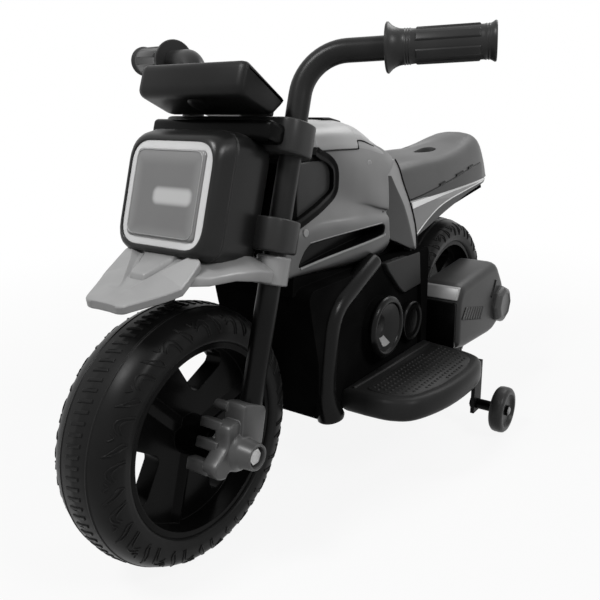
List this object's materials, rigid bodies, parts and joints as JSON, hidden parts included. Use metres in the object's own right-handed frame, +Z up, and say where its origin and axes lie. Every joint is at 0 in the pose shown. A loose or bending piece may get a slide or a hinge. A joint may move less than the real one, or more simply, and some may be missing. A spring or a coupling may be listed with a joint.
{
  "type": "kids electric motorbike",
  "caption": "Child's ride-on electric motorbike with raked fork, headlight, foot steps, moulded seat and side stabilisers.",
  "frame": {"origin": "on the ground under the middle of the bike, centre of the bounding box's base", "axes": "+X to the bike's left, +Y to its rear, +Z up; steering straight ahead, which is -Y"},
  "size_m": [0.4656, 0.812, 0.5089],
  "materials": {
    "gloss_black": "gloss moulded",
    "satin_black": "satin moulded",
    "tyre_black": "satin moulded",
    "grip_black": "soft matt",
    "silver": "silver pigmented satin",
    "dark_grey": "satin moulded",
    "pale_ring": "gloss",
    "lens": "translucent",
    "board": "matt",
    "steel": "zinc plated",
    "white_gear": "natural nylon"
  },
  "bodies": {
    "chassis": {"hull_left": "gloss_black", "hull_right": "gloss_black", "head_bushes": "white_gear", "side_panel_left": "silver", "side_panel_right": "silver", "knee_plates": "dark_grey", "tail_panel_left": "silver", "tail_panel_right": "silver", "tank_deck": "silver", "tank_cover": "silver", "seat": "dark_grey", "step_left": "gloss_black", "step_right": "gloss_black", "exhaust_box_left": "dark_grey", "exhaust_box_right": "dark_grey", "rear_axle": "steel", "rear_axle_caps": "dark_grey", "stabiliser_brackets": "satin_black", "stabiliser_bolts": "steel", "gear_case": "satin_black", "drive_motor": "steel", "battery": "satin_black", "charging_socket": "satin_black", "body_screws": "steel"},
    "steering": {"fork_tube_left": "gloss_black", "fork_tube_right": "gloss_black", "grip_left": "grip_black", "grip_right": "grip_black", "upper_yoke": "gloss_black", "lower_yoke": "gloss_black", "steering_stem": "steel", "stem_nut": "steel", "headlight_bezel": "gloss_black", "headlight_housing": "gloss_black", "headlight_ring": "pale_ring", "headlight_lens": "lens", "led_board": "board", "dash_case": "gloss_black", "dash_panel": "satin_black", "mudguard": "silver", "fork_end_left": "dark_grey", "fork_end_right": "dark_grey", "front_axle": "steel", "front_axle_nuts": "steel"},
    "front_wheel": {"front_tyre": "tyre_black", "front_rim": "gloss_black", "front_hub_bushes": "white_gear"},
    "rear_wheel": {"rear_tyre": "tyre_black", "rear_rim": "gloss_black", "rear_hub_bushes": "white_gear", "drive_gear": "white_gear"},
    "idler": {"idler_gear": "white_gear"},
    "motor_rotor": {"motor_pinion": "white_gear"},
    "left_stabiliser_wheel": {"stabiliser_wheel_left": "gloss_black"},
    "right_stabiliser_wheel": {"stabiliser_wheel_right": "gloss_black"},
    "pedal": {"accelerator_pedal": "satin_black"},
    "button_power": {"power_button": "satin_black"},
    "button_music": {"music_button": "satin_black"},
    "button_horn": {"horn_button": "satin_black"},
    "rocker": {"direction_rocker": "satin_black"}
  },
  "joints": [
    {"name": "steer", "type": "hinge", "parent": "chassis", "child": "steering", "pos_m": [0, -0.23432, 0.11686], "axis": [0, 0.3007, 0.9537], "range_deg": [-20, 20]},
    {"name": "front_wheel_spin", "type": "hinge", "parent": "steering", "child": "front_wheel", "pos_m": [0, -0.276, 0.13], "axis": [1, 0, 0], "continuous": true},
    {"name": "rear_wheel_spin", "type": "hinge", "parent": "chassis", "child": "rear_wheel", "pos_m": [0, 0.276, 0.13], "axis": [1, 0, 0], "continuous": true},
    {"name": "idler_spin", "type": "hinge", "parent": "chassis", "child": "idler", "pos_m": [0, 0.222, 0.13], "axis": [1, 0, 0], "continuous": true},
    {"name": "motor_spin", "type": "hinge", "parent": "chassis", "child": "motor_rotor", "pos_m": [0, 0.21575, 0.16545], "axis": [1, 0, 0], "continuous": true},
    {"name": "left_stabiliser_spin", "type": "hinge", "parent": "chassis", "child": "left_stabiliser_wheel", "pos_m": [0.1775, 0.14, 0.0346], "axis": [1, 0, 0], "continuous": true},
    {"name": "right_stabiliser_spin", "type": "hinge", "parent": "chassis", "child": "right_stabiliser_wheel", "pos_m": [-0.1775, 0.14, 0.0346], "axis": [1, 0, 0], "continuous": true},
    {"name": "accelerator", "type": "hinge", "parent": "chassis", "child": "pedal", "pos_m": [-0.12195, 0.062, 0.1273], "axis": [1, 0, 0], "range_deg": [0, 8], "stiffness_Nm_per_rad": 1.5, "springref_deg": -5.73},
    {"name": "power_press", "type": "slide", "parent": "steering", "child": "button_power", "axis": [0, -0.5446, -0.8387], "range_m": [0, 0.0015], "stiffness_N_per_m": 400, "springref_m": -0.001},
    {"name": "music_press", "type": "slide", "parent": "steering", "child": "button_music", "axis": [0, -0.5446, -0.8387], "range_m": [0, 0.0015], "stiffness_N_per_m": 400, "springref_m": -0.001},
    {"name": "horn_press", "type": "slide", "parent": "steering", "child": "button_horn", "axis": [0, -0.5446, -0.8387], "range_m": [0, 0.0015], "stiffness_N_per_m": 400, "springref_m": -0.001},
    {"name": "direction_rock", "type": "hinge", "parent": "steering", "child": "rocker", "pos_m": [0.03068, -0.209, 0.45289], "axis": [1, 0, 0], "range_deg": [-6, 6]}
  ],
  "couplings": [
    {"joint": "idler_spin", "follows": "rear_wheel_spin", "ratio": -5},
    {"joint": "motor_spin", "follows": "rear_wheel_spin", "ratio": 15}
  ]
}
